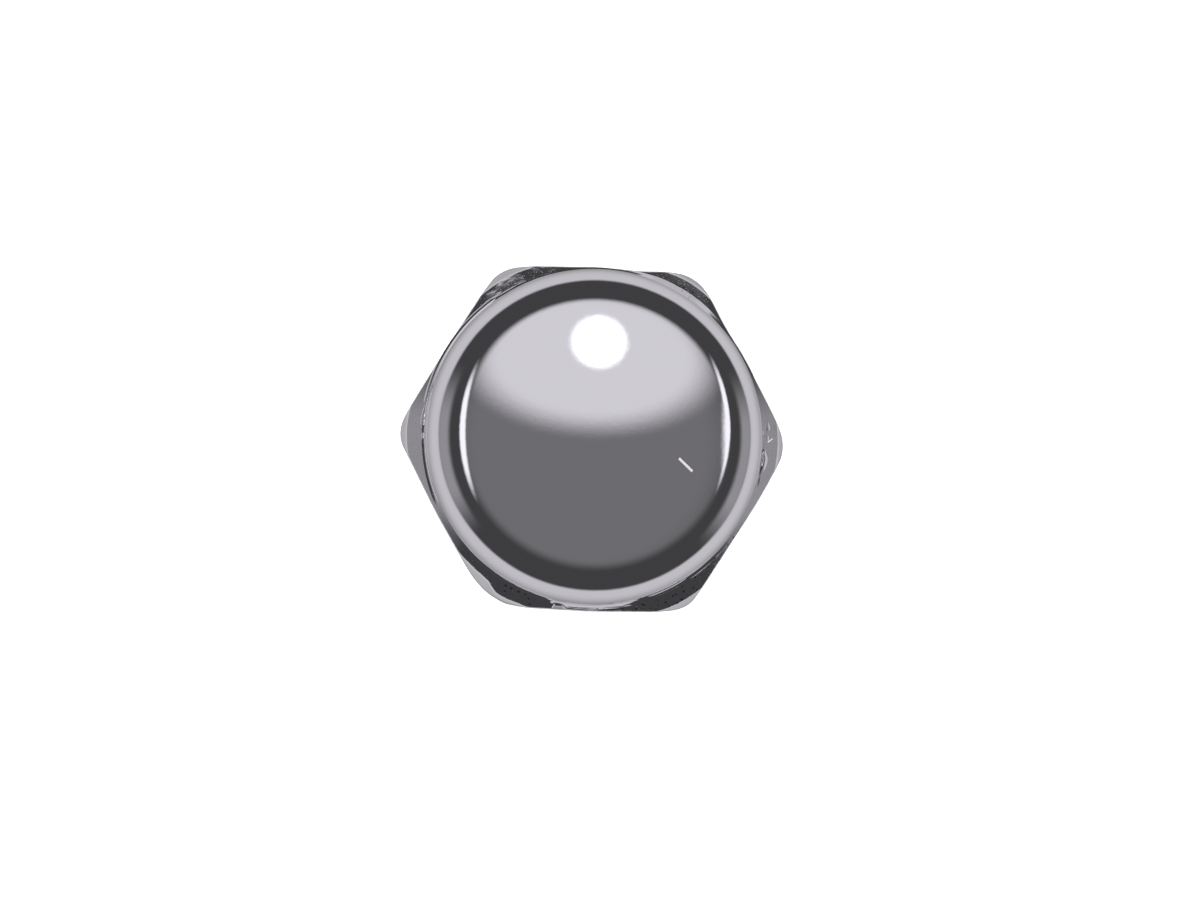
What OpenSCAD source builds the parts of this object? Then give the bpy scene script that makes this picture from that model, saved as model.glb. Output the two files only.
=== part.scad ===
// Closed-end wheel lug nut, cold forged in one piece and plated.
//
// The nut stands on its open end with its dome up. The origin is the centre of the open end's
// flat ring, +Z runs up the thread's axis, and two of the six flats face +Y and -Y.
// Every turned surface comes from one half-section, and the six flats are cut from it by a
// hexagonal bar with rounded edges, so the arcs where cones meet flats form by themselves.

/* [Hexagon] */
// Width across the wrench flats
across_flats = 19; // [18:0.5:24]
// Radius of the rounded upright edges between the flats
edge_r = 1.7; // [0.6:0.1:2.6]
// Height from the open end to the top of the dome
total_h = 35; // [31:0.5:50]

/* [Dome] */
// Step from the flats in to the side of the dome
dome_step = 0.27; // [0.15:0.01:0.6]
// Radius of the broad top of the dome
crown_r = 19.5; // [14:0.5:40]
// Radius of the shoulder that turns the top down into the side
shoulder_r = 3.6; // [2:0.1:5]
// Height of the upright side under the shoulder
side_h = 0.12; // [0.05:0.01:1]
// Radius of the small hollow at the foot of the dome
foot_r = 0.18; // [0.1:0.01:0.4]

/* [Forged chamfer] */
// Slope of the narrow ledge between the hollow and the chamfer, in degrees from level
ledge_slope = 20; // [5:1:28]
// Width of that ledge
ledge_w = 0.1; // [0.04:0.01:0.2]
// Slope of the chamfer round the ledge, in degrees from level
chamfer_slope = 44; // [30:1:55]
// Width from the dome's side out to the end of the chamfer
chamfer_w = 1.04; // [0.85:0.01:1.15]
// Slope of the steeper crescent at each corner, in degrees from level
crescent_slope = 68; // [60:1:80]

/* [Seat] */
// Full angle of the cone that centres the nut in the wheel
seat_angle = 60; // [50:1:90]
// Width of the flat ring round the mouth
end_ring_w = 0.7; // [0.4:0.05:1.2]
// Radius of the rounded edge between that ring and the cone
end_edge_r = 0.5; // [0.2:0.05:0.8]

/* [Threaded bore] */
// Outer diameter of the thread
thread_d = 12; // [10:0.5:14]
// Pitch of the thread
thread_pitch = 1.5; // [1:0.25:2]
// Width of the countersink at the mouth
mouth_w = 0.45; // [0.2:0.05:0.8]
// Full angle of the countersink at the mouth
mouth_angle = 90; // [60:5:120]
// Depth of plain drilled hole past the end of the thread
drill_past_thread = 4.5; // [2:0.25:8]
// Full angle of the drill's point
drill_point_angle = 118; // [90:1:140]
// Metal left between the drill's point and the top of the dome
crown_wall = 5.3; // [3:0.1:9]

/* [Hidden] */
$fn = 180;

// How far a cutting shape runs past what it cuts
past = 1;
// Each rounding arc swells this far past its tangent lines, so that it crosses them cleanly
overrun = 0.0001;

// Hexagon
apothem = across_flats / 2;
edge_centre_r = (apothem - edge_r) / cos(30);
corner_r = edge_centre_r + edge_r;
blank_r = corner_r + past;

// Dome, from its top down
dome_r = apothem - dome_step;
shoulder_x = dome_r - shoulder_r;
crown_z = total_h - crown_r;
shoulder_z = crown_z + sqrt(pow(crown_r - shoulder_r, 2) - pow(shoulder_x, 2));
// Angle up from level at which the shoulder runs into the broad top
blend_a = atan2(shoulder_z - crown_z, shoulder_x);
// Centre of the small hollow at the dome's foot
foot_centre = [dome_r + foot_r, shoulder_z - side_h];

// Ledge and chamfer, from the hollow at the dome's foot out to the crescents
ledge_top = [
    foot_centre.x - foot_r * sin(ledge_slope),
    foot_centre.y - foot_r * cos(ledge_slope)
];
chamfer_top = [
    ledge_top.x + ledge_w,
    ledge_top.y - ledge_w * tan(ledge_slope)
];
chamfer_end = [
    dome_r + chamfer_w,
    chamfer_top.y - (dome_r + chamfer_w - chamfer_top.x) * tan(chamfer_slope)
];
crescent_end = [
    blank_r,
    chamfer_end.y - (blank_r - chamfer_end.x) * tan(crescent_slope)
];

// Seat, from the flat ring out to the flats
seat_lean = seat_angle / 2;
ring_in_r = thread_d / 2 + mouth_w;
ring_out_r = ring_in_r + end_ring_w;
seat_start = [
    ring_out_r + end_edge_r * cos(seat_lean),
    end_edge_r * (1 - sin(seat_lean))
];
seat_end = [blank_r, seat_start.y + (blank_r - seat_start.x) / tan(seat_lean)];

// Bore, from its mouth up
thread_r = thread_d / 2;
drill_r = thread_r - thread_pitch / 2;
mouth_depth = mouth_w / tan(mouth_angle / 2);
drill_tip_z = total_h - crown_wall;
drill_end_z = drill_tip_z - drill_r / tan(drill_point_angle / 2);
thread_end_z = drill_end_z - drill_past_thread;

// A point at distance r and angle a from centre c
function around(c, r, a) = [c.x + r * cos(a), c.y + r * sin(a)];

// What comes off a sharp corner to round it to radius r about centre c, from angle a0 to a1
module corner_waste(c, r, a0, a1) {
    reach = r / cos((a1 - a0) / 2) + past;
    difference() {
        polygon([
            c,
            around(c, reach, a0),
            around(c, reach / cos((a1 - a0) / 2), (a0 + a1) / 2),
            around(c, reach, a1)
        ]);
        translate(c) circle(r + overrun);
    }
}

// Half-section of the outside: open end at the bottom, dome at the top
module outer_section() {
    difference() {
        polygon([
            [0, 0],
            [seat_start.x - seat_start.y * tan(seat_lean), 0],
            seat_end,
            crescent_end,
            chamfer_end,
            chamfer_top,
            ledge_top,
            foot_centre,
            [dome_r, foot_centre.y],
            [dome_r, total_h + past],
            [0, total_h + past]
        ]);
        // the broad top, from the blend with the shoulder to just over the axis
        difference() {
            translate([-past, shoulder_z]) square([blank_r, total_h]);
            translate([0, crown_z]) circle(crown_r);
        }
        corner_waste([shoulder_x, shoulder_z], shoulder_r, 0, blend_a);
        corner_waste([ring_out_r, end_edge_r], end_edge_r, -90, -seat_lean);
        // the small hollow between the dome's side and the ledge
        translate(foot_centre) circle(foot_r + overrun);
    }
}

// Cross-section of the bar: a hexagon with rounded corners and flats that face +Y and -Y
module bar_section() {
    difference() {
        circle(apothem / cos(30), $fn = 6);
        for (a = [0:60:300])
            corner_waste(around([0, 0], edge_centre_r, a), edge_r, a - 30, a + 30);
    }
}

// Half-section of the hole: countersunk mouth, threaded length, drilled length and drill point
module bore_section() {
    polygon([
        [0, -past],
        [ring_in_r + past * tan(mouth_angle / 2), -past],
        [thread_r, mouth_depth],
        [thread_r, thread_end_z],
        [drill_r, thread_end_z + thread_r - drill_r],
        [drill_r, drill_end_z],
        [0, drill_tip_z]
    ]);
}

module lug_nut() {
    color([0.80, 0.79, 0.85])
    difference() {
        intersection() {
            rotate_extrude() outer_section();
            translate([0, 0, -past])
                linear_extrude(total_h + 2 * past) bar_section();
        }
        rotate_extrude() bore_section();
    }
}

lug_nut();
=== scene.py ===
"""Chrome-plated closed-end lug nut, looked down on from its domed end.

The nut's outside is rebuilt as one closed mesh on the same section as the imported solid, so that its edges
can be softened, its forged chamfer roughened, its worn corner cut back and its thread given real ridges.
Lengths are in millimetres up to the point where a mesh is made, and then in metres, as in the frame.
"""
import math

import bpy
import numpy as np
from mathutils import Matrix, Vector, noise


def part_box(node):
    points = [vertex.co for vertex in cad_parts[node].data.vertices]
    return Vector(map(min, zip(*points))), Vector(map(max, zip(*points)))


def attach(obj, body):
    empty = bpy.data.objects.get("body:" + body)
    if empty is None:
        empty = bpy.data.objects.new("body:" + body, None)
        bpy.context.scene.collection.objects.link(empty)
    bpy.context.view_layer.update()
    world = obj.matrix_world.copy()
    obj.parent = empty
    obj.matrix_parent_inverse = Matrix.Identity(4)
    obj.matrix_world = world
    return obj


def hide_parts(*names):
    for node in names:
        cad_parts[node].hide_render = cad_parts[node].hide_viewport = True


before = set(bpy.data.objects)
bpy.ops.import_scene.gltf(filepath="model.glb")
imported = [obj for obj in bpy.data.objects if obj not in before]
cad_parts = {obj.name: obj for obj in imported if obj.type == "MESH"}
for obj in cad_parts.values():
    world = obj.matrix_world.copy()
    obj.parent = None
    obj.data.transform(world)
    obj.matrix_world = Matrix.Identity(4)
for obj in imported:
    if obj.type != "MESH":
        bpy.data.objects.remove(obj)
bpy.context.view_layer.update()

MM = 0.001

# ---------------------------------------------------------------- sizes, in millimetres
NUT_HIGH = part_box("lug_nut")[1] / MM
HEIGHT = NUT_HIGH.z
APOTHEM = NUT_HIGH.y
CORNER_R = NUT_HIGH.x
COS30 = math.cos(math.radians(30))
# the rounded upright edges, from how far the corners fall short of a sharp hexagon's
EDGE_R = (APOTHEM / COS30 - CORNER_R) / (1 / COS30 - 1)

DOME_STEP = 0.27
CROWN_R = 19.5
SHOULDER_R = 3.6
SIDE_H = 0.12
FOOT_R = 0.18
LEDGE_SLOPE = math.radians(20)
LEDGE_W = 0.1
CHAMFER_SLOPE = math.radians(44)
CHAMFER_W = 1.04
CRESCENT_SLOPE = math.radians(68)

SEAT_LEAN = math.radians(30)
END_RING_W = 0.7
END_EDGE_R = 0.5

THREAD_R = 6.0
THREAD_PITCH = 1.5
MOUTH_W = 0.45
# the countersink's full angle is 90 degrees, so it is as deep as it is wide
MOUTH_DEPTH = MOUTH_W
DRILL_PAST_THREAD = 4.5
DRILL_POINT = math.radians(59)
CROWN_WALL = 5.3

DOME_R = APOTHEM - DOME_STEP
SHOULDER_X = DOME_R - SHOULDER_R
CROWN_Z = HEIGHT - CROWN_R
SHOULDER_Z = CROWN_Z + math.sqrt((CROWN_R - SHOULDER_R) ** 2 - SHOULDER_X ** 2)
BLEND = math.atan2(SHOULDER_Z - CROWN_Z, SHOULDER_X)
FOOT = (DOME_R + FOOT_R, SHOULDER_Z - SIDE_H)
LEDGE_TOP = (FOOT[0] - FOOT_R * math.sin(LEDGE_SLOPE), FOOT[1] - FOOT_R * math.cos(LEDGE_SLOPE))
CHAMFER_TOP = (LEDGE_TOP[0] + LEDGE_W, LEDGE_TOP[1] - LEDGE_W * math.tan(LEDGE_SLOPE))
CHAMFER_END_R = DOME_R + CHAMFER_W
RING_IN_R = THREAD_R + MOUTH_W
RING_OUT_R = RING_IN_R + END_RING_W
SEAT_R = RING_OUT_R + END_EDGE_R * math.cos(SEAT_LEAN)
SEAT_Z = END_EDGE_R * (1 - math.sin(SEAT_LEAN))
DRILL_R = THREAD_R - THREAD_PITCH / 2
DRILL_TIP_Z = HEIGHT - CROWN_WALL
DRILL_END_Z = DRILL_TIP_Z - DRILL_R / math.tan(DRILL_POINT)
THREAD_END_Z = DRILL_END_Z - DRILL_PAST_THREAD

CHROME_TINT = (0.79, 0.77, 0.83)
GRAIN_TINT = (0.40, 0.37, 0.42)
# painted shade: near black, laid in spots where the forging is roughest as the shade inside its pits
PIT_SHADE_TINT = (0.06, 0.05, 0.08)
STEEL_TINT = (0.20, 0.19, 0.19)
SCUFF_TINT = (0.40, 0.36, 0.38)

# how far the forged edges are softened, and one that stays sharp
HARD_EDGE = 0.001
LEDGE_SOFT = 0.03
CHAMFER_SOFT = 0.05
BRIM_SOFT = 0.07
SEAT_SOFT = 0.30
# how far the inner edge of each crescent bows out in its middle, and half the crescent's length in degrees
CRESCENT_BOW = 0.07
CRESCENT_HALF = 7.7

# mesh density: lines round the nut for each sixth of it, and one bore line for every few of them
ARC_LINES = 32
FLAT_LINES = 68
BORE_STEP = 5
# lengths that get closer rings: beside each edge of the brim, down the top of the wall and beside the
# seat's edge
EDGE_SPAN = 0.07
WALL_SPAN = 0.5
SEAT_SPAN = 0.35
# rings down the seat's end, as shares of the way: down the wall, over the seat's edge and down the cone
WALL_SHARES = (0.02, 0.05, 0.09, 0.15, 0.4, 0.8, 1)
EDGE_SHARES = (0.7, 0.45, 0.2, 0, -0.2, -0.45, -0.7, -1)
CONE_SHARES = (0.75, 0.5, 0.25, 0)
END_EDGE_RINGS = 6
# rings over the crown, round the shoulder and through the hollow at the dome's foot
CROWN_RINGS = 18
SHOULDER_RINGS = 28
FOOT_RINGS = 7
# how far the rings over the brim are evened out
RING_EVENNESS = 0.15
# edges that turn by more than this are drawn sharp
SHARP_ANGLE = math.radians(34)


# ---------------------------------------------------------------- helpers
def ease(x, low, high):
    """0 below low, 1 above high and smooth between; low may be the larger."""
    t = np.clip((x - low) / (high - low), 0, 1)
    return t * t * (3 - 2 * t)


def turn_from(az, middle):
    """Angle from middle to az, -180 to 180."""
    return (az - middle + 180) % 360 - 180


def sector(az, start, end, soft):
    """1 from start round to end, fading over soft at each side."""
    half = ((end - start) % 360) / 2
    return ease(np.abs(turn_from(az, start + half)), half + soft / 2, half - soft / 2)


def bell(az, middle, wide):
    """1 at middle, falling away smoothly on both sides."""
    return np.exp(-(turn_from(az, middle) / wide) ** 2)


def link(name, data):
    """Puts a new object in the scene."""
    made = bpy.data.objects.new(name, data)
    bpy.context.scene.collection.objects.link(made)
    return made


# ---------------------------------------------------------------- the outside, as lines round and rings down
def line_angles():
    """The angle of each line down the nut, closest together round the six upright edges."""
    edge_centre = (APOTHEM - EDGE_R) / COS30
    turn = np.radians(np.linspace(-30, 30, ARC_LINES, endpoint=False))
    arc = np.arctan2(EDGE_R * np.sin(turn), edge_centre + EDGE_R * np.cos(turn))
    half_flat = (APOTHEM - EDGE_R) * math.tan(math.radians(30))
    along = np.linspace(-half_flat, half_flat, FLAT_LINES, endpoint=False)
    flat = np.radians(30) + np.arctan2(along, APOTHEM)
    sixth = np.concatenate([arc, flat])
    return np.concatenate([sixth + math.radians(60) * k for k in range(6)])


def bar_radius(angle):
    """Distance from the axis to the rounded hexagon, by angle."""
    off = (np.degrees(angle) + 30) % 60 - 30
    off = np.radians(np.abs(off))
    edge_centre = (APOTHEM - EDGE_R) / COS30
    tangent = math.atan2(EDGE_R * 0.5, edge_centre + EDGE_R * COS30)
    flat = APOTHEM / np.cos(math.radians(30) - off)
    inside = np.maximum(EDGE_R ** 2 - (edge_centre * np.sin(off)) ** 2, 0)
    rounded = edge_centre * np.cos(off) + np.sqrt(inside)
    return np.where(off < tangent, rounded, flat)


def arc_points(centre, radius, start, end, count):
    """count points along an arc, leaving out its first."""
    turn = np.linspace(start, end, count + 1)[1:]
    return [(centre[0] + radius * math.cos(a), centre[1] + radius * math.sin(a)) for a in turn]


def dome_rings():
    """The dome's rings, from next to its middle down to the top of the ledge."""
    quarter = math.pi / 2
    rings = arc_points((0, CROWN_Z), CROWN_R, quarter, BLEND, CROWN_RINGS)
    rings += arc_points((SHOULDER_X, SHOULDER_Z), SHOULDER_R, BLEND, 0, SHOULDER_RINGS)
    rings += [(DOME_R, FOOT[1])]
    rings += arc_points(FOOT, FOOT_R, 2 * quarter, 3 * quarter - LEDGE_SLOPE, FOOT_RINGS)
    return np.array(rings)


def soft_max(a, b, width):
    """The larger of a and b, rounded off where they are within width, and a's share of the slope."""
    share = np.clip(0.5 + 0.5 * (a - b) / width, 0, 1)
    return b + (a - b) * share + width * share * (1 - share), share


def settle(r, z, cones):
    """Moves points onto the outside of some cones and walls, with the edges between them softened.

    Each cone is (r, z, outward r, outward z, softness of its edge with those before it).
    """
    for _ in range(5):
        gap, gap_r, gap_z = -99.0, 0.0, 0.0
        for cone_r, cone_z, out_r, out_z, soft in cones:
            near = (r - cone_r) * out_r + (z - cone_z) * out_z
            gap, share = soft_max(near, gap, soft)
            gap_r = share * out_r + (1 - share) * gap_r
            gap_z = share * out_z + (1 - share) * gap_z
        size = gap_r ** 2 + gap_z ** 2
        r = r - gap * gap_r / size
        z = z - gap * gap_z / size
    return r, z


def spread(knots, evenness):
    """Ring positions between knots (place, rings to the next), partly evened out, as (ring, line)."""
    along = []
    for (start, count), (end, _) in zip(knots, knots[1:]):
        along += [start + (end - start) * (k + 1) / count for k in range(count)]
    along = np.array(along)
    even = np.linspace(0, 1, len(along) + 1)[1:, None] * along[-1]
    return (1 - evenness) * along + evenness * even


def brim_rings(bar_r, crescent_r):
    """Rings over the ledge, the chamfer, the crescents and the top of the wall, as (ring, line) arrays."""
    ledge_len = LEDGE_W / math.cos(LEDGE_SLOPE)
    chamfer_r = np.minimum(crescent_r, bar_r)
    chamfer_len = (chamfer_r - CHAMFER_TOP[0]) / math.cos(CHAMFER_SLOPE)
    crescent_len = (bar_r - chamfer_r) / math.cos(CRESCENT_SLOPE)
    edge = ledge_len + chamfer_len
    brim = edge + crescent_len
    along = spread([
        (0 * bar_r, 3),
        (ledge_len + 0 * bar_r, 22),
        (edge - np.minimum(EDGE_SPAN, chamfer_len / 2), 4),
        (edge + np.minimum(EDGE_SPAN, crescent_len / 2), 8),
        (brim - np.minimum(EDGE_SPAN, crescent_len / 2), 4),
        (brim + EDGE_SPAN, 3),
        (brim + WALL_SPAN, 0),
    ], RING_EVENNESS)
    on_ledge = np.minimum(along, ledge_len)
    on_chamfer = np.clip(along - ledge_len, 0, chamfer_len)
    on_crescent = np.clip(along - edge, 0, crescent_len)
    r = LEDGE_TOP[0] + on_ledge * math.cos(LEDGE_SLOPE) + on_chamfer * math.cos(CHAMFER_SLOPE)
    z = LEDGE_TOP[1] - on_ledge * math.sin(LEDGE_SLOPE) - on_chamfer * math.sin(CHAMFER_SLOPE)
    r = r + on_crescent * math.cos(CRESCENT_SLOPE)
    z = z - on_crescent * math.sin(CRESCENT_SLOPE) - np.maximum(along - brim, 0)
    crescent_z = CHAMFER_TOP[1] - (crescent_r - CHAMFER_TOP[0]) * math.tan(CHAMFER_SLOPE)
    cones = [
        (*LEDGE_TOP, math.sin(LEDGE_SLOPE), math.cos(LEDGE_SLOPE), HARD_EDGE),
        (*CHAMFER_TOP, math.sin(CHAMFER_SLOPE), math.cos(CHAMFER_SLOPE), LEDGE_SOFT),
        (crescent_r, crescent_z, math.sin(CRESCENT_SLOPE), math.cos(CRESCENT_SLOPE), CHAMFER_SOFT),
        (bar_r, 0.0, 1.0, 0.0, BRIM_SOFT),
    ]
    return settle(r, z, cones)


def seat_rings(bar_r, wall_top_z):
    """Rings down the wall, over the softened edge of the seat, down the cone and round the end edge."""
    tan, sin, cos = math.tan(SEAT_LEAN), math.sin(SEAT_LEAN), math.cos(SEAT_LEAN)
    meet_z = SEAT_Z + (bar_r - SEAT_R) / tan
    wall_len = meet_z + SEAT_SPAN - wall_top_z
    wall = [wall_top_z + wall_len * f for f in WALL_SHARES]
    edge = [meet_z + SEAT_SPAN * f for f in EDGE_SHARES]
    cone = [SEAT_Z + (meet_z - SEAT_SPAN - SEAT_Z) * f for f in CONE_SHARES]
    z = np.array(wall + edge + cone)
    r = np.minimum(bar_r, SEAT_R + (z - SEAT_Z) * tan)
    r, z = settle(r, z, [(SEAT_R, SEAT_Z, cos, -sin, HARD_EDGE), (bar_r, 0.0, 1.0, 0.0, SEAT_SOFT)])
    turn = np.linspace(-SEAT_LEAN, -math.pi / 2, END_EDGE_RINGS + 1)[1:, None]
    end_r = RING_OUT_R + END_EDGE_R * np.cos(turn) + 0 * bar_r
    end_z = END_EDGE_R + END_EDGE_R * np.sin(turn) + 0 * bar_r
    return np.vstack([r, end_r]), np.vstack([z, end_z])


# ---------------------------------------------------------------- the bore and its thread
# the ridge's flank, measured from the middle of its crest in pitches
FLANK_START = 0.4375
FLANK_LONG = 0.3125
# plain wall at each end of the thread, and the turns over which the ridge rises and dies away
THREAD_GAP = 0.1
RUN_IN = 0.5
RUN_OUT = 0.7
THREAD_PHASES = (0.0, 0.0625, 0.22, 0.375, 0.5, 0.625, 0.78, 0.9375)


def thread_ridge(phase):
    """Height of the thread's ridge above its root, from 0 to 1, by phase along one pitch."""
    from_crest = np.abs(phase - 0.5)
    return np.clip((FLANK_START - from_crest) / FLANK_LONG, 0, 1)


class MeshParts:
    """Vertices and faces gathered into one mesh."""

    def __init__(self):
        self.points = []
        self.faces = []

    def ring(self, r, z, angle):
        """Adds one vertex a line and returns their numbers."""
        start = len(self.points)
        r = r + 0 * angle
        z = z + 0 * angle
        self.points += list(zip(r * np.cos(angle), r * np.sin(angle), z))
        return list(range(start, len(self.points)))

    def band(self, upper, lower):
        """Joins two rings of equal count, seen from outside with upper above lower."""
        count = len(upper)
        for i in range(count):
            j = (i + 1) % count
            self.faces.append((upper[i], lower[i], lower[j], upper[j]))

    def fan(self, ring, tip, flip=False):
        """Closes a ring onto one point."""
        count = len(ring)
        for i in range(count):
            j = (i + 1) % count
            face = (tip, ring[i], ring[j])
            self.faces.append(face[::-1] if flip else face)

    def point(self, x, y, z):
        """Adds one vertex and returns its number."""
        self.points.append((x, y, z))
        return len(self.points) - 1


def add_bore(parts, angle, end_ring):
    """Countersink, threaded length, drilled length and drill point, joined to the end ring."""
    inner = angle[::BORE_STEP]
    lines = len(inner)
    mouth = parts.ring(RING_IN_R, 0.0, inner)
    for i in range(lines):
        j = (i + 1) % lines
        outer = [end_ring[(i * BORE_STEP + k) % len(end_ring)] for k in range(BORE_STEP + 1)]
        parts.faces.append((mouth[i], mouth[j], *reversed(outer)))
    throat = parts.ring(THREAD_R, MOUTH_DEPTH, inner)
    parts.band(mouth, throat)

    # the thread: one long spiral grid whose last line joins its first one pitch higher up
    start_z = MOUTH_DEPTH + THREAD_GAP
    turns = int((THREAD_END_Z - THREAD_GAP - start_z) / THREAD_PITCH) - 1
    rows = [(turn, phase) for turn in range(turns) for phase in THREAD_PHASES] + [(turns, 0.0)]
    around = (inner - inner[0]) / (2 * math.pi)
    grid = []
    for turn, phase in rows:
        climb = turn + phase + around
        fade = np.clip(climb / RUN_IN, 0, 1) * np.clip((turns + 1 - climb) / RUN_OUT, 0, 1)
        fade = fade * fade * (3 - 2 * fade)
        ridge = thread_ridge(np.full(lines, phase)) * fade
        r = THREAD_R - (THREAD_R - DRILL_R) * ridge
        grid.append(parts.ring(r, start_z + climb * THREAD_PITCH, inner))
    step = len(THREAD_PHASES)
    for row in range(len(rows) - 1):
        low, high = grid[row], grid[row + 1]
        for i in range(lines - 1):
            parts.faces.append((low[i], high[i], high[i + 1], low[i + 1]))
        if row + 1 + step < len(rows):
            next_low, next_high = grid[row + step], grid[row + 1 + step]
            parts.faces.append((low[-1], high[-1], next_high[0], next_low[0]))
    for i in range(lines - 1):
        parts.faces.append((throat[i], grid[0][i], grid[0][i + 1], throat[i + 1]))
    first_step = [grid[row][0] for row in range(step + 1)]
    parts.faces.append((throat[-1], grid[0][-1], *reversed(first_step), throat[0]))

    thread_end = parts.ring(THREAD_R, THREAD_END_Z, inner)
    for i in range(lines - 1):
        parts.faces.append((grid[-1][i], thread_end[i], thread_end[i + 1], grid[-1][i + 1]))
    last = len(rows) - 1
    last_step = [grid[row][-1] for row in range(last - step, last + 1)]
    parts.faces.append((*last_step, thread_end[-1], thread_end[0], grid[last][0]))

    drill_start = parts.ring(DRILL_R, THREAD_END_Z + THREAD_R - DRILL_R, inner)
    drill_end = parts.ring(DRILL_R, DRILL_END_Z, inner)
    parts.band(thread_end, drill_start)
    parts.band(drill_start, drill_end)
    parts.fan(drill_end, parts.point(0, 0, DRILL_TIP_Z), flip=True)


# ---------------------------------------------------------------- marks of forging and wear
def lumps(x, y, z, size, seed):
    """Smooth noise at each point, about -1 to 1, with features of that many millimetres."""
    shape = x.shape
    shift = Vector((seed * 3.1, seed * 7.7, seed * 5.3))
    found = [
        noise.noise(Vector(p) / size + shift)
        for p in zip(x.ravel().tolist(), y.ravel().tolist(), z.ravel().tolist())
    ]
    return np.array(found).reshape(shape) * 1.6


# worn places and bulges of the bar: azimuth, width in degrees, and depth or height
WORN = ((240.0, 6.6, 0.38), (24, 13, 0.07), (297, 4.6, 0.13))
BULGES = ((207, 16, 0.09), (342, 12, 0.07), (271, 12, 0.06), (60, 14, 0.05), (122, 20, 0.05))
# places where the brim is drawn in, in the same form
DRAWN_IN = ((43, 9, 0.11), (77, 10, 0.12), (100, 14, 0.06), (135, 30, 0.04))


def bells(az, rows):
    """The sum of some bells, each (middle, width, height)."""
    return sum(high * bell(az, middle, wide) for middle, wide, high in rows)


def worn_bar(angle):
    """Distance from the axis to the bar with its uneven flats and its worn lower left edge."""
    az = np.degrees(angle)
    return bar_radius(angle) - bells(az, WORN) + bells(az, BULGES)


# the nick: its depth, and the limits between which each of its ends and sides fades
NICK_DEPTH = 0.17
NICK_LEFT = (-1.99, -1.85)
NICK_RIGHT = (-1.14, -1.54)
NICK_NEAR = (-8.0, -9.0)
NICK_FOOT = (FOOT[1] - 2.2, FOOT[1] - 0.8)


def nick_depth(x, y, z):
    """How far the nick in the edge over the near flat is cut in at each point."""
    along = ease(x, *NICK_LEFT) * ease(x, *NICK_RIGHT)
    return NICK_DEPTH * along * ease(y, *NICK_NEAR) * ease(z, *NICK_FOOT)


# where the crescents reach further in: azimuth, width in degrees, and how far
WIDER_CRESCENT = (122, 14, 0.12)
# facets of the worn edge, broad on one side and narrower on the other: span, fade, and how far in
FACETS = ((220, 238, 5, 0.50), (238, 254, 5, 0.22))


def crescent_start(angle):
    """Distance from the axis to the inner edge of the crescents."""
    az = np.degrees(angle)
    off = (az + 30) % 60 - 30
    start = CHAMFER_END_R + CRESCENT_BOW * np.maximum(1 - (off / CRESCENT_HALF) ** 2, 0)
    start -= bells(az, [WIDER_CRESCENT])
    for *span, deep in FACETS:
        start -= deep * sector(az, *span)
    return start


def fill_to(r, z, slopes, end, share):
    """Pushes points out onto cones of those slopes from level that meet at end, by a share of the way."""
    gap, way = -99.0 + 0 * r, 0 * r
    for slope in slopes:
        beyond = (r - end[0]) * np.sin(slope) + (z - end[1]) * np.cos(slope)
        way = np.where(beyond > gap, slope, way)
        gap = np.maximum(gap, beyond)
    push = np.maximum(-gap, 0) * share
    return r + push * np.sin(way), z + push * np.cos(way)


# bumps that crumple the right corner: azimuth, distance from the axis, length, width and height
CRUMPLES = (
    (356.6, 9.40, 0.20, 0.08, 0.040),
    (354.8, 9.48, 0.24, 0.09, 0.030),
    (352.4, 9.50, 0.26, 0.10, 0.024),
    (5.2, 9.66, 0.20, 0.09, 0.030),
    (1.6, 9.58, 0.22, 0.10, 0.024),
)


def crumple(az, r):
    """Height of the crumpled right corner above the chamfer."""
    total = 0 * r
    for middle, distance, long, wide, high in CRUMPLES:
        round_it = np.radians(turn_from(az, middle)) * r / long
        across = (r - distance) / wide
        total += high * np.exp(-round_it ** 2 - across ** 2)
    return total


# where the ledge is plain to see: start and end azimuth, fade, and share
LEDGE_SPANS = ((128, 166, 6, 1.0), (164, 204, 6, 0.45), (292, 304, 5, 0.5), (346, 360, 5, 0.4))
# where the chamfer is steeper, by that many degrees: the middle of the near flat
STEEP_SPAN = (258, 285, 8)
STEEPER = math.radians(11)
# how much of the hollow at the dome's foot is filled, the ledge's rise by its width, and its own waves
FOOT_FILL = 0.95
LEDGE_RISE = 0.07
LEDGE_WAVES = ((0.006, 0.30, 12),)
# the brim's corners: start and end azimuth, and fade
RIGHT = (345, 8, 6)
RIGHT_LOW = (345, 358, 5)
UPPER_LEFT = (104, 134, 8)
LEFT = (166, 186, 6)
LOWER_LEFT = (222, 252, 6)
NEAR_RIGHT = (284, 297, 4)
LOWER_RIGHT = (297, 334, 6)
PATCH = (116, 129, 4)
# forging waves and grain by corner: height, size and seed of each
WAVES = (
    (RIGHT, ((0.019, 0.8, 3), (0.008, 0.36, 4))),
    (RIGHT_LOW, ((0.008, 0.45, 13),)),
    (UPPER_LEFT, ((0.010, 0.7, 5), (0.004, 0.27, 6))),
    (LOWER_LEFT, ((0.006, 0.6, 7), (0.005, 0.24, 8))),
    (NEAR_RIGHT, ((0.003, 0.30, 14),)),
    (LOWER_RIGHT, ((0.005, 0.55, 9), (0.004, 0.24, 10))),
)
PATCH_WAVES = ((0.020, 0.42, 15), (0.008, 0.22, 16))
OVERALL_WAVES = ((0.004, 1.1, 1),)
# how rough the chamfer is everywhere, and how much rougher over some spans
BASE_ROUGH = 0.15
ROUGH_SPANS = (
    (*RIGHT, 0.5),
    (*UPPER_LEFT, 0.9),
    (*LEFT, 0.35),
    (*LOWER_LEFT, 1.0),
    (*NEAR_RIGHT, 1.0),
    (*LOWER_RIGHT, 1.0),
    (52, 82, 8, 0.7),
    (186, 224, 6, 0.5),
    (256, 288, 5, 0.85),
)
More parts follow.
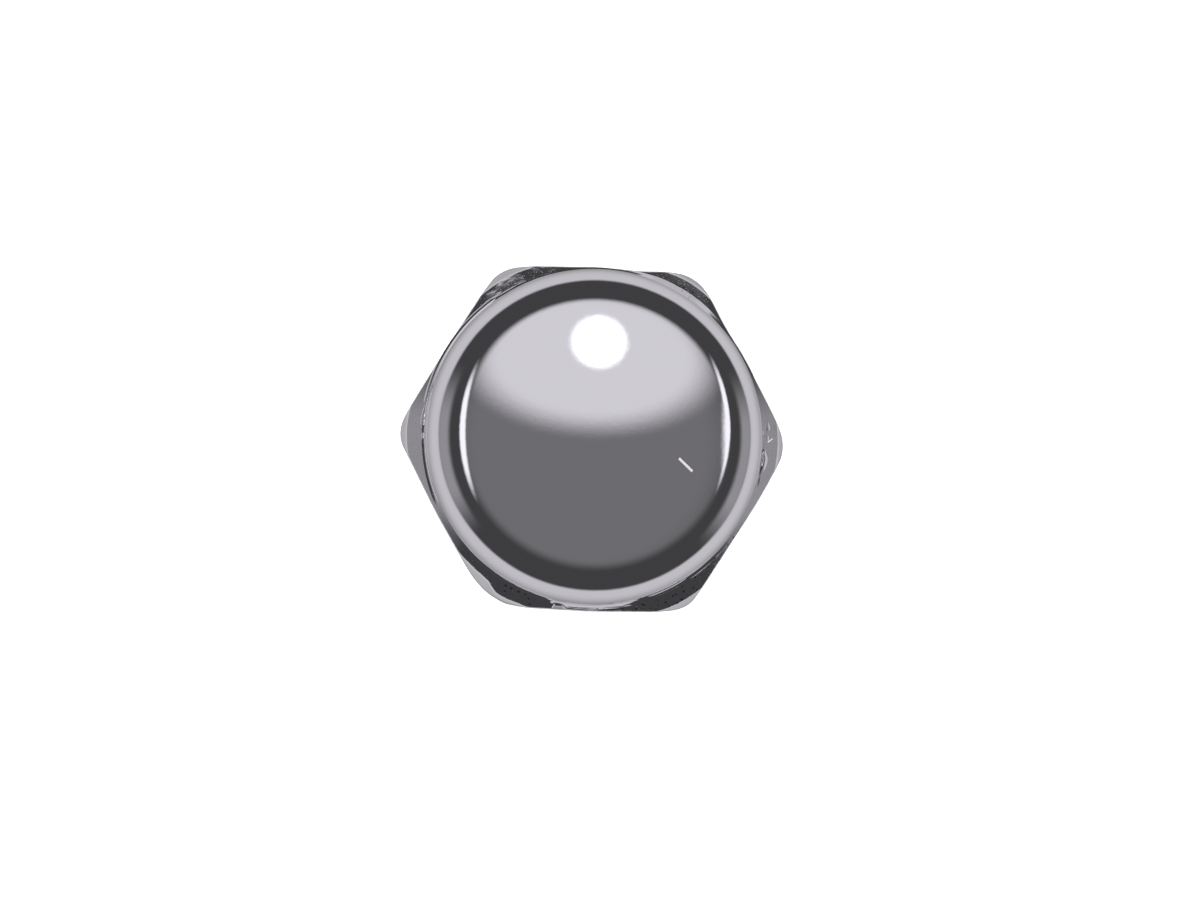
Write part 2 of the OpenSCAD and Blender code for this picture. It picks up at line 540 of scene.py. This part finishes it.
# fine marks of the tool, which run along the near flat
TOOL_MARKS = (0.007, 0.12, 17)
MARK_STRETCH = 3
# a lip along the foot of the dome, lower right: span and fade, distance from the axis, width and height
LIP_SPAN = (304, 324, 6)
LIP_R = 9.36
LIP_W = 0.04
LIP_H = 0.014
# where the chamfer is flatter by the lower right corner: span and fade, degrees that the span leans
# over the chamfer's width, and the rise at its outer edge
FLATTER_SPAN = (286, 302, 4)
FLATTER_LEAN = 5
FLATTER_RISE = 0.10
# distances from the axis over which the drawn in brim and the nick set in
DRAWN_FROM = (9.40, 9.46)
NICK_FROM = (9.30, 9.46)
# forms that fill in part of the brim: span and fade, outer end, and slope
BROAD_SPAN = (127, 169, 5)
BROKEN_SPAN = (166, 185, 5)
BROKEN_SHARE = 0.8
BROAD_LEDGE = (9.39, LEDGE_TOP[1] + 0.044)
BROAD_SLOPE = math.radians(16.5)
RIGHT_SPAN = (10, 25, 4)
RIGHT_LEDGE = (9.33, LEDGE_TOP[1] + 0.042)
RIGHT_SLOPE = math.radians(29)
FLARE_MIDDLE = 63
FLARE_WIDE = 9
FLARE_SHARE = 1.3
FLARE_R = 9.58
FLARE = (FLARE_R, CHAMFER_TOP[1] - (FLARE_R - CHAMFER_TOP[0]) * math.tan(CHAMFER_SLOPE))
FLARE_SLOPE = math.radians(71)
# where the fill, the ledges and the flare may reach: outside, below and above these pairs of limits
CHAMFER_LOW = (CHAMFER_TOP[1] - 0.12, CHAMFER_TOP[1] - 0.04)
FILL_ZONE = ((DOME_R - 0.05, DOME_R - 0.02), (FOOT[1] + 0.5, FOOT[1] + 0.3), CHAMFER_LOW)
LEDGE_ZONE = ((DOME_R - 0.03, DOME_R), (FOOT[1] + 0.3, FOOT[1] + 0.1), CHAMFER_LOW)
FLARE_ZONE = ((DOME_R - 0.35, DOME_R - 0.25), (FOOT[1] + 1.5, FOOT[1] + 1.2), (FLARE[1] - 0.12, FLARE[1]))


def waves(x, y, z, rows):
    """The sum of some smooth noises, each (height, size, seed)."""
    return sum(high * lumps(x, y, z, size, seed) for high, size, seed in rows)


def in_zone(r, z, outside, below, above):
    """1 well inside a zone, fading over each pair of limits."""
    return ease(r, *outside) * ease(z, *below) * ease(z, *above)


def fill_ledge(r, z, az, x, y, on_ledge, out):
    """Runs the chamfer in to the dome where no ledge shows. Returns the ledge's own rise too."""
    ledge = np.maximum.reduce([plain * sector(az, *span) for *span, plain in LEDGE_SPANS])
    slope = CHAMFER_SLOPE + STEEPER * sector(az, *STEEP_SPAN)
    share = FOOT_FILL * (1 - ledge) * in_zone(r, z, *FILL_ZONE)
    r, z = fill_to(r, z, [slope], CHAMFER_TOP, share)
    rise = LEDGE_RISE * np.clip(out, 0, LEDGE_W) + waves(x, y, z, LEDGE_WAVES)
    return r, z, ledge * on_ledge * rise


def forging_waves(az, x, y, z, patch):
    """Height of the chamfer's waves and grain, corner by corner."""
    swell = waves(x, y, z, OVERALL_WAVES)
    for corner, rows in WAVES:
        swell += sector(az, *corner) * waves(x, y, z, rows)
    return swell + patch * waves(x, y, z, PATCH_WAVES)


def small_marks(az, r, x, y, z, on_brim):
    """Height of the tool's marks on the near flat, the lip at lower right and the right corner's dents."""
    marks = waves(x / MARK_STRETCH, y, z, [TOOL_MARKS]) * sector(az, *STEEP_SPAN) * on_brim
    lip = LIP_H * np.exp(-((r - LIP_R) / LIP_W) ** 2) * sector(az, *LIP_SPAN)
    return marks + lip + crumple(az, r)


def fill_brim(r, z, az, x, y):
    """Adds the broad ledge, the broken one by the right corner and the flare."""
    low_foot = in_zone(r, z, *LEDGE_ZONE)
    broken = ease(lumps(x, y, z, 0.45, 18), -0.15, 0.25)
    broad = np.maximum(sector(az, *BROAD_SPAN), BROKEN_SHARE * broken * sector(az, *BROKEN_SPAN))
    r, z = fill_to(r, z, [BROAD_SLOPE, CHAMFER_SLOPE], BROAD_LEDGE, broad * low_foot)
    some = sector(az, *RIGHT_SPAN) * broken
    r, z = fill_to(r, z, [RIGHT_SLOPE, CHAMFER_SLOPE], RIGHT_LEDGE, some * low_foot)
    # behind the upper right corner a steep cone fills the hollow at the dome's foot
    flare = np.minimum(FLARE_SHARE * bell(az, FLARE_MIDDLE, FLARE_WIDE), 1)
    return fill_to(r, z, [FLARE_SLOPE], FLARE, in_zone(r, z, *FLARE_ZONE) * flare)


def roughness(r, z, az, patch, on_chamfer):
    """How rough the forging left each point; over 1 it is brushed as well."""
    rough = BASE_ROUGH + sum(share * sector(az, *span) for *span, share in ROUGH_SPANS)
    chamfer_z = CHAMFER_TOP[1] - (r - CHAMFER_TOP[0]) * math.tan(CHAMFER_SLOPE)
    above_brim = ease(z - chamfer_z, -0.14, -0.05)
    return (np.minimum(rough, 1) + patch) * on_chamfer * above_brim


def forge(r, z, angle, crescent_r):
    """Moves points as forging and wear did. Returns them with a roughness for each."""
    az = np.degrees(angle) + 0 * r
    # noise is looked up at each point's first x and y, and at its height so far
    x, y = r * np.cos(angle), r * np.sin(angle)
    out = r - LEDGE_TOP[0]
    part = np.clip(out / (crescent_r - LEDGE_TOP[0]), 0, 1)
    past_foot = ease(r, DOME_R + 0.03, LEDGE_TOP[0] + 0.03)
    on_chamfer = past_foot * ease(r, crescent_r + 0.03, crescent_r - 0.10)
    on_ledge = past_foot * ease(r, CHAMFER_TOP[0] + 0.08, CHAMFER_TOP[0] - 0.02)
    on_brim = past_foot * ease(z, FOOT[1] - 3.0, FOOT[1] - 0.6)
    patch = sector(az, *PATCH) * ease(part, 0.08, 0.25) * ease(part, 0.92, 0.7)

    r, z, rise = fill_ledge(r, z, az, x, y, on_ledge, out)
    rise += forging_waves(az, x, y, z, patch) * on_chamfer
    rise += small_marks(az, r, x, y, z, on_brim)
    # the brim is drawn in on both sides of the upper right corner, and less further on
    back = bells(az, DRAWN_IN) * on_brim * ease(r, *DRAWN_FROM)
    back += nick_depth(x, y, z) * ease(r, *NICK_FROM)
    r = r + rise * math.sin(CHAMFER_SLOPE) - back
    z = z + rise * math.cos(CHAMFER_SLOPE)
    # flatter by the lower right corner, straight up so that the outline stays
    z = z + FLATTER_RISE * part * sector(az - FLATTER_LEAN * part, *FLATTER_SPAN) * on_chamfer
    r, z = fill_brim(r, z, az, x, y)
    return r, z, roughness(r, z, az, patch, on_chamfer)


# the slight taper of the near flat: span and fade, depth, and the heights over which it comes and goes
TAPER_SPAN = (250, 290, 14)
TAPER_DEPTH = 0.10
TAPER_TOP = (FOOT[1] - 1.5, FOOT[1] - 14)
TAPER_FOOT = (3, 5)


def build_nut():
    """The whole nut as one closed mesh."""
    angle = line_angles()
    bar_r = worn_bar(angle)
    crescent_r = crescent_start(angle)
    dome = dome_rings()[:, :, None] + 0 * angle
    brim_r, brim_z = brim_rings(bar_r, crescent_r)
    wall_top_z = brim_z[-1]
    brim_r, brim_z, rough = forge(
        np.vstack([dome[:, 0], brim_r]), np.vstack([dome[:, 1], brim_z]), angle, crescent_r)
    seat_r, seat_z = seat_rings(bar_r, wall_top_z)
    # the near flat tapers in slightly towards its middle
    taper = sector(np.degrees(angle), *TAPER_SPAN) * ease(seat_z, *TAPER_TOP)
    seat_r -= TAPER_DEPTH * taper * ease(seat_z, *TAPER_FOOT)
    seat_r -= nick_depth(seat_r * np.cos(angle), seat_r * np.sin(angle), seat_z)

    parts = MeshParts()
    ring_r, ring_z = np.vstack([brim_r, seat_r]), np.vstack([brim_z, seat_z])
    rings = [parts.ring(r, z, angle) for r, z in zip(ring_r, ring_z)]
    parts.fan(rings[0], parts.point(0, 0, HEIGHT))
    for upper, lower in zip(rings, rings[1:]):
        parts.band(upper, lower)
    add_bore(parts, angle, rings[-1])

    mesh = bpy.data.meshes.new("nut_body")
    points = np.array(parts.points) * MM
    mesh.from_pydata(points.tolist(), [], parts.faces)
    forged = np.zeros(len(points))
    forged[:rough.size] = rough.ravel()
    mesh.attributes.new("forged", "FLOAT", "POINT").data.foreach_set("value", forged)
    mesh.shade_smooth()
    mesh.set_sharp_from_angle(angle=SHARP_ANGLE)
    return link("nut_body", mesh)


# ---------------------------------------------------------------- materials
class Nodes:
    """A material's node tree, with short ways to add to it."""

    def __init__(self, name):
        self.mat = bpy.data.materials.new(name)
        self.mat.use_nodes = True
        self.tree = self.mat.node_tree
        self.shader = self.tree.nodes["Principled BSDF"]

    def add(self, kind, inputs=(), **settings):
        """Adds a shader node with its settings and inputs."""
        node = self.tree.nodes.new("ShaderNode" + kind)
        for key, value in settings.items():
            setattr(node, key, value)
        for key, value in dict(inputs).items():
            self.put(node.inputs[key], value)
        return node

    def put(self, socket, value):
        """Links a socket to another one, or gives it a plain value."""
        if isinstance(value, bpy.types.NodeSocket):
            self.tree.links.new(value, socket)
        else:
            socket.default_value = value

    def math(self, operation, *values):
        """The result of one operation on sockets or numbers."""
        node = self.add("Math", operation=operation)
        for socket, value in zip(node.inputs, values):
            self.put(socket, value)
        return node.outputs[0]

    def remap(self, value, low, high, out_low=0.0, out_high=1.0):
        """Runs smoothly from out_low to out_high as value goes from low to high."""
        node = self.add("MapRange", interpolation_type="SMOOTHSTEP")
        for key, number in zip(("Value", "From Min", "From Max", "To Min", "To Max"),
                               (value, low, high, out_low, out_high)):
            self.put(node.inputs[key], number)
        return node.outputs[0]

    def mix(self, share, a, b):
        """Colour a where share is 0 and b where it is 1."""
        node = self.add("Mix", data_type="RGBA")
        self.put(node.inputs["Factor"], share)
        for key, value in (("A", a), ("B", b)):
            socket = [i for i in node.inputs if i.name == key and i.type == "RGBA"][0]
            self.put(socket, value if isinstance(value, bpy.types.NodeSocket) else (*value, 1))
        return [o for o in node.outputs if o.type == "RGBA"][0]

    def noise(self, where, size, detail):
        """Cloudy noise with features of that many millimetres."""
        inputs = {"Vector": where, "Scale": 1 / size, "Detail": detail, "Roughness": 0.6}
        return self.add("TexNoise", inputs).outputs[0]

    def cells(self, where, size):
        """Distance to the nearest of scattered points, about that many millimetres apart."""
        inputs = {"Vector": where, "Scale": 1 / size, "Randomness": 1.0}
        return self.add("TexVoronoi", inputs).outputs["Distance"]

    def bump(self, height, distance, under=None):
        """The normal over a bump of that depth in millimetres, on top of the one under it."""
        node = self.add("Bump", {"Height": height, "Distance": distance * MM, "Strength": 1.0})
        if under is not None:
            self.put(node.inputs["Normal"], under)
        return node.outputs[0]


def dash(n, x, y, start, end, wide):
    """1 on a short line between two points on the nut seen from above, 0 off it."""
    dx, dy = end[0] - start[0], end[1] - start[1]
    length = math.hypot(dx, dy)
    ux, uy = dx / length, dy / length
    px, py = n.math("SUBTRACT", x, start[0]), n.math("SUBTRACT", y, start[1])
    along = n.math("ADD", n.math("MULTIPLY", px, ux), n.math("MULTIPLY", py, uy))
    aside = n.math("ABSOLUTE", n.math("SUBTRACT", n.math("MULTIPLY", py, ux), n.math("MULTIPLY", px, uy)))
    inside = n.remap(aside, wide * 0.5, wide * 0.3)
    ends = n.math("MULTIPLY", n.remap(along, -0.03, 0.03), n.remap(along, length + 0.03, length - 0.03))
    return n.math("MULTIPLY", inside, ends)


# sizes of the surface's detail, in millimetres
GRAIN_SIZE = 0.085
PIT_SIZE = 0.16
PIT_SHADE_SIZE = 0.34
PEEL_SIZE = 0.30
STEEL_SIZE = 0.7
# scuffs seen from above: start, end and width; and the heights above which each one shows
CROWN_SCUFF = ((4.36, -1.35), (5.10, -1.98), 0.15)
CROWN_SCUFF_Z = (30, 31)
CORNER_SCUFF = ((9.64, 0.10), (9.92, 0.32), 0.07)
CORNER_SCUFF_Z = (27, 28)
# depths of the bumps, in millimetres
PEEL_BUMP = 0.0012
GRAIN_BUMP = 0.0022
PIT_BUMP = 0.0035
STEEL_BUMP = 0.05


def chrome_material():
    """Bright plate, pitted where it was forged with painted shade in its pits, bare steel in the bore and
    pale where it is scuffed.
    """
    n = Nodes("chrome_plate")
    coords = n.add("TexCoord").outputs["Object"]
    where = n.add("VectorMath", {"Vector": coords, "Scale": 1 / MM}, operation="SCALE").outputs[0]
    split = n.add("SeparateXYZ", {"Vector": where}).outputs
    x, y, z = split[0], split[1], split[2]
    radius = n.math("SQRT", n.math("ADD", n.math("MULTIPLY", x, x), n.math("MULTIPLY", y, y)))
    forged = n.add("Attribute", attribute_name="forged").outputs["Fac"]

    # the bore: bare dull steel that the plating hardly reaches
    bore = n.math("MULTIPLY", n.remap(radius, THREAD_R + 0.5, THREAD_R + 0.1),
                  n.remap(z, DRILL_TIP_Z + 0.05, DRILL_TIP_Z - 0.05))
    # scuffs on the crown and on the right corner that show pale
    on_crown = n.math("MULTIPLY", dash(n, x, y, *CROWN_SCUFF), n.remap(z, *CROWN_SCUFF_Z))
    on_corner = n.math("MULTIPLY", dash(n, x, y, *CORNER_SCUFF), n.remap(z, *CORNER_SCUFF_Z))
    pale = n.math("MAXIMUM", on_crown, on_corner)

    grain = n.noise(where, GRAIN_SIZE, 3.0)
    pits = n.remap(n.cells(where, PIT_SIZE), 0.05, 0.30)
    peel = n.noise(where, PEEL_SIZE, 3.0)
    steel = n.noise(where, STEEL_SIZE, 4.0)

    plain = n.math("MINIMUM", forged, 1.0)
    grey = n.math("MULTIPLY", plain, n.remap(grain, 0.45, 0.62, 0.0, 0.35))
    colour = n.mix(grey, CHROME_TINT, GRAIN_TINT)
    # painted shade: near black spots over the roughest forging, standing in for the shade inside its pits
    pit_shade = n.remap(n.cells(where, PIT_SHADE_SIZE), 0.24, 0.14)
    pit_shade = n.math("MULTIPLY", pit_shade, n.remap(forged, 0.6, 0.95))
    colour = n.mix(n.math("MULTIPLY", pit_shade, 0.85), colour, PIT_SHADE_TINT)
    colour = n.mix(bore, colour, STEEL_TINT)
    colour = n.mix(pale, colour, SCUFF_TINT)
    n.put(n.shader.inputs["Base Color"], colour)
    n.put(n.shader.inputs["Metallic"], n.math("SUBTRACT", 1.0, pale))
    brushed = n.math("MULTIPLY", n.remap(forged, 1.0, 1.8), n.remap(grain, 0.35, 0.6, 0.12, 0.34))
    smooth = n.remap(peel, 0.3, 0.7, 0.03, 0.05)
    dull = n.math("MULTIPLY_ADD", plain, n.remap(grain, 0.35, 0.65, 0.0, 0.06), smooth)
    dull = n.math("MAXIMUM", dull, brushed)
    dull = n.math("MAXIMUM", dull, n.math("MULTIPLY", bore, n.remap(steel, 0.3, 0.7, 0.34, 0.5)))
    dull = n.math("MAXIMUM", dull, n.math("MULTIPLY", pale, 0.6))
    n.put(n.shader.inputs["Roughness"], dull)

    normal = n.bump(peel, PEEL_BUMP)
    normal = n.bump(n.math("MULTIPLY", grain, forged), GRAIN_BUMP, normal)
    normal = n.bump(n.math("MULTIPLY", pits, forged), PIT_BUMP, normal)
    normal = n.bump(n.math("MULTIPLY", steel, bore), STEEL_BUMP, normal)
    n.put(n.shader.inputs["Normal"], normal)
    return n.mat


# ---------------------------------------------------------------- studio light
# A plain studio in neutral grey. Brightness of each part, where white is about 1.
TABLE_LIGHT = 0.66
UNDER_LIGHT = 0.28
WALL_LIGHT = 0.06
FILL_LIGHT = 0.34
ROOF_LIGHT = 0.19
BROAD_BOX_LIGHT = 0.78
STRIP_LIGHT = 1.2
KEY_LIGHT = 1.9
# brightness of the world, which lights the floor and the pale scuffs
FLOOR_LIGHT = 2.1
# heights in degrees over which one part fades into the next
TABLE_EDGE = (-7, -15)
UNDER_EDGE = (-25, -75)
ROOF_EDGE = (30, 52)
# fill boxes low on each side: start and end azimuth, and fade; then their heights, and fade
FILL_BOXES = ((160, 210, 24), (330, 20, 24))
FILL_HEIGHTS = (-12, 12, 12)
# boxes overhead: middle and half size in degrees right of and beyond the zenith, fade and brightness
SOFT_BOXES = (
    ((0, 30), (40, 24), 0.22, BROAD_BOX_LIGHT),
    ((-50, 4), (5, 24), 0.4, STRIP_LIGHT),
    ((50, 12), (4, 22), 0.4, STRIP_LIGHT),
    ((2, 35), (9, 9), 0.2, KEY_LIGHT),
)


def height(el, low, high, soft):
    """1 between two heights, fading over soft at each."""
    return ease(el, low - soft / 2, low + soft / 2) * ease(el, high + soft / 2, high - soft / 2)


def soft_box(east, north, middle, half_size, soft):
    """An oval overhead light, its edge faded over a share of its size; degrees from the zenith."""
    far = np.hypot((east - middle[0]) / half_size[0], (north - middle[1]) / half_size[1])
    return ease(far, 1 + soft, 1 - soft)


def studio_light(az, el):
    """Grey light by azimuth and height: a pale table, dim walls and roof, and six soft boxes."""
    light = np.full(len(az), WALL_LIGHT)

    def lay(mask, tone):
        nonlocal light
        light = light + mask * (tone - light)

    away = 90 - el
    east, north = away * np.cos(np.radians(az)), away * np.sin(np.radians(az))
    # the table ends a little below level, where the walls begin
    lay(ease(el, *TABLE_EDGE), TABLE_LIGHT)
    lay(ease(el, *UNDER_EDGE), UNDER_LIGHT)
    for box in FILL_BOXES:
        lay(sector(az, *box) * height(el, *FILL_HEIGHTS), FILL_LIGHT)
    lay(ease(el, *ROOF_EDGE), ROOF_LIGHT)
    for middle, half_size, soft, tone in SOFT_BOXES:
        lay(soft_box(east, north, middle, half_size, soft), tone)
    return np.stack([light] * 3, -1)


# ---------------------------------------------------------------- stage
FLOOR_HALF = 0.6
FLOOR_TINT = (0.9, 0.9, 0.9, 1)
FLOOR_ROUGHNESS = 0.9
SURROUND_RADIUS = 600 * MM
# azimuths and heights of the surround's vertices, in degrees: coarse low down and closest near the zenith
SURROUND_AZ = np.arange(0, 360, 0.75)
SURROUND_EL = np.concatenate([np.arange(-88, -16, 4.0), np.arange(-16, 40, 0.75), np.arange(40, 90, 0.5)])


def add_floor():
    """A plain pale floor, left out of the reflections."""
    half = FLOOR_HALF
    corners = [(-half, -half, 0), (half, -half, 0), (half, half, 0), (-half, half, 0)]
    mesh = bpy.data.meshes.new("floor")
    mesh.from_pydata(corners, [], [(0, 1, 2, 3)])
    floor = link("floor", mesh)
    mat = bpy.data.materials.new("floor")
    mat.use_nodes = True
    shader = mat.node_tree.nodes["Principled BSDF"]
    shader.inputs["Base Color"].default_value = FLOOR_TINT
    shader.inputs["Roughness"].default_value = FLOOR_ROUGHNESS
    shader.inputs["Specular IOR Level"].default_value = 0.0
    mesh.materials.append(mat)
    floor.visible_glossy = False


def add_world():
    """Even white light, which reaches the floor and the pale scuffs."""
    world = bpy.data.worlds.new("studio")
    world.use_nodes = True
    background = world.node_tree.nodes["Background"]
    background.inputs["Color"].default_value = (1, 1, 1, 1)
    background.inputs["Strength"].default_value = FLOOR_LIGHT
    bpy.context.scene.world = world


def glow_material():
    """Gives off the light that is stored at each vertex."""
    mat = bpy.data.materials.new("surround")
    mat.use_nodes = True
    tree = mat.node_tree
    tree.nodes.clear()
    tone = tree.nodes.new("ShaderNodeVertexColor")
    tone.layer_name = "tone"
    glow = tree.nodes.new("ShaderNodeEmission")
    out = tree.nodes.new("ShaderNodeOutputMaterial")
    tree.links.new(tone.outputs["Color"], glow.inputs["Color"])
    tree.links.new(glow.outputs["Emission"], out.inputs["Surface"])
    mat.cycles.emission_sampling = "NONE"
    return mat


def add_surround():
    """A sphere round the set that only the chrome sees: the studio's walls and soft boxes."""
    turn, rise = [grid.ravel() for grid in np.meshgrid(SURROUND_AZ, SURROUND_EL)]
    flat = np.cos(np.radians(rise))
    verts = np.stack([
        flat * np.cos(np.radians(turn)),
        flat * np.sin(np.radians(turn)),
        np.sin(np.radians(rise)),
    ], -1)
    poles = [[0, 0, -1], [0, 0, 1]]
    verts = np.vstack([verts, poles]) * SURROUND_RADIUS + [0, 0, HEIGHT * MM / 2]
    cols, rows = len(SURROUND_AZ), len(SURROUND_EL)
    faces = []
    for j in range(rows - 1):
        for i in range(cols):
            k = (i + 1) % cols
            faces.append((j * cols + i, (j + 1) * cols + i, (j + 1) * cols + k, j * cols + k))
    for i in range(cols):
        k = (i + 1) % cols
        faces.append((rows * cols, i, k))
        faces.append((rows * cols + 1, (rows - 1) * cols + k, (rows - 1) * cols + i))
    mesh = bpy.data.meshes.new("surround")
    mesh.from_pydata(verts.tolist(), [], faces)
    light = studio_light(np.append(turn, [0, 0]), np.append(rise, [-90, 90]))
    rgba = np.concatenate([light, np.ones((len(light), 1))], 1).astype(np.float32)
    layer = mesh.color_attributes.new("tone", "FLOAT_COLOR", "POINT")
    layer.data.foreach_set("color", rgba.ravel())
    mesh.materials.append(glow_material())
    surround = link("surround", mesh)
    surround.visible_camera = False
    surround.visible_diffuse = False
    surround.visible_shadow = False


# ---------------------------------------------------------------- camera, fitted to the photo's outline
FRAME_W, FRAME_H = 1200, 900
# scale at the dome's foot, and the photo's pixel where the axis passes through it
PX_PER_MM = 18.207
RIM_PX, RIM_PY = 594.0, 436.8
RIM_DROP = 0.13
CAMERA_DISTANCE = 110.0
TILT_X = math.radians(-2.37)
TILT_Y = math.radians(-4.95)
ROLL = math.radians(-2.03)
SENSOR_W = 36


def add_camera():
    """Looks down on the dome from a little in front and to the left."""
    back = Vector((math.sin(TILT_X), math.sin(TILT_Y), 0))
    back.z = math.sqrt(1 - back.length_squared)
    side = Vector((0, 1, 0)).cross(back).normalized()
    up = back.cross(side)
    right_v = math.cos(ROLL) * side - math.sin(ROLL) * up
    up_v = math.sin(ROLL) * side + math.cos(ROLL) * up
    origin = Vector((0, 0, FOOT[1] - RIM_DROP))
    place = origin + CAMERA_DISTANCE * back
    aim = origin + right_v * (FRAME_W / 2 - RIM_PX) / PX_PER_MM + up_v * (RIM_PY - FRAME_H / 2) / PX_PER_MM
    look = (aim - place).normalized()
    right = look.cross(up_v).normalized()
    true_up = right.cross(look)
    turn = Matrix((right, true_up, -look)).transposed().to_4x4()
    data = bpy.data.cameras.new("camera")
    data.sensor_width = SENSOR_W
    data.lens = PX_PER_MM * CAMERA_DISTANCE / FRAME_W * SENSOR_W
    data.clip_start = 0.005
    data.clip_end = 10
    camera = link("camera", data)
    camera.matrix_world = Matrix.Translation(place * MM) @ turn
    bpy.context.scene.camera = camera


# ---------------------------------------------------------------- put together
add_camera()
nut = build_nut()
nut.data.materials.append(chrome_material())
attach(nut, "root")
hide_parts("lug_nut")
add_floor()
add_world()
add_surround()
bpy.context.scene.view_settings.view_transform = "Standard"
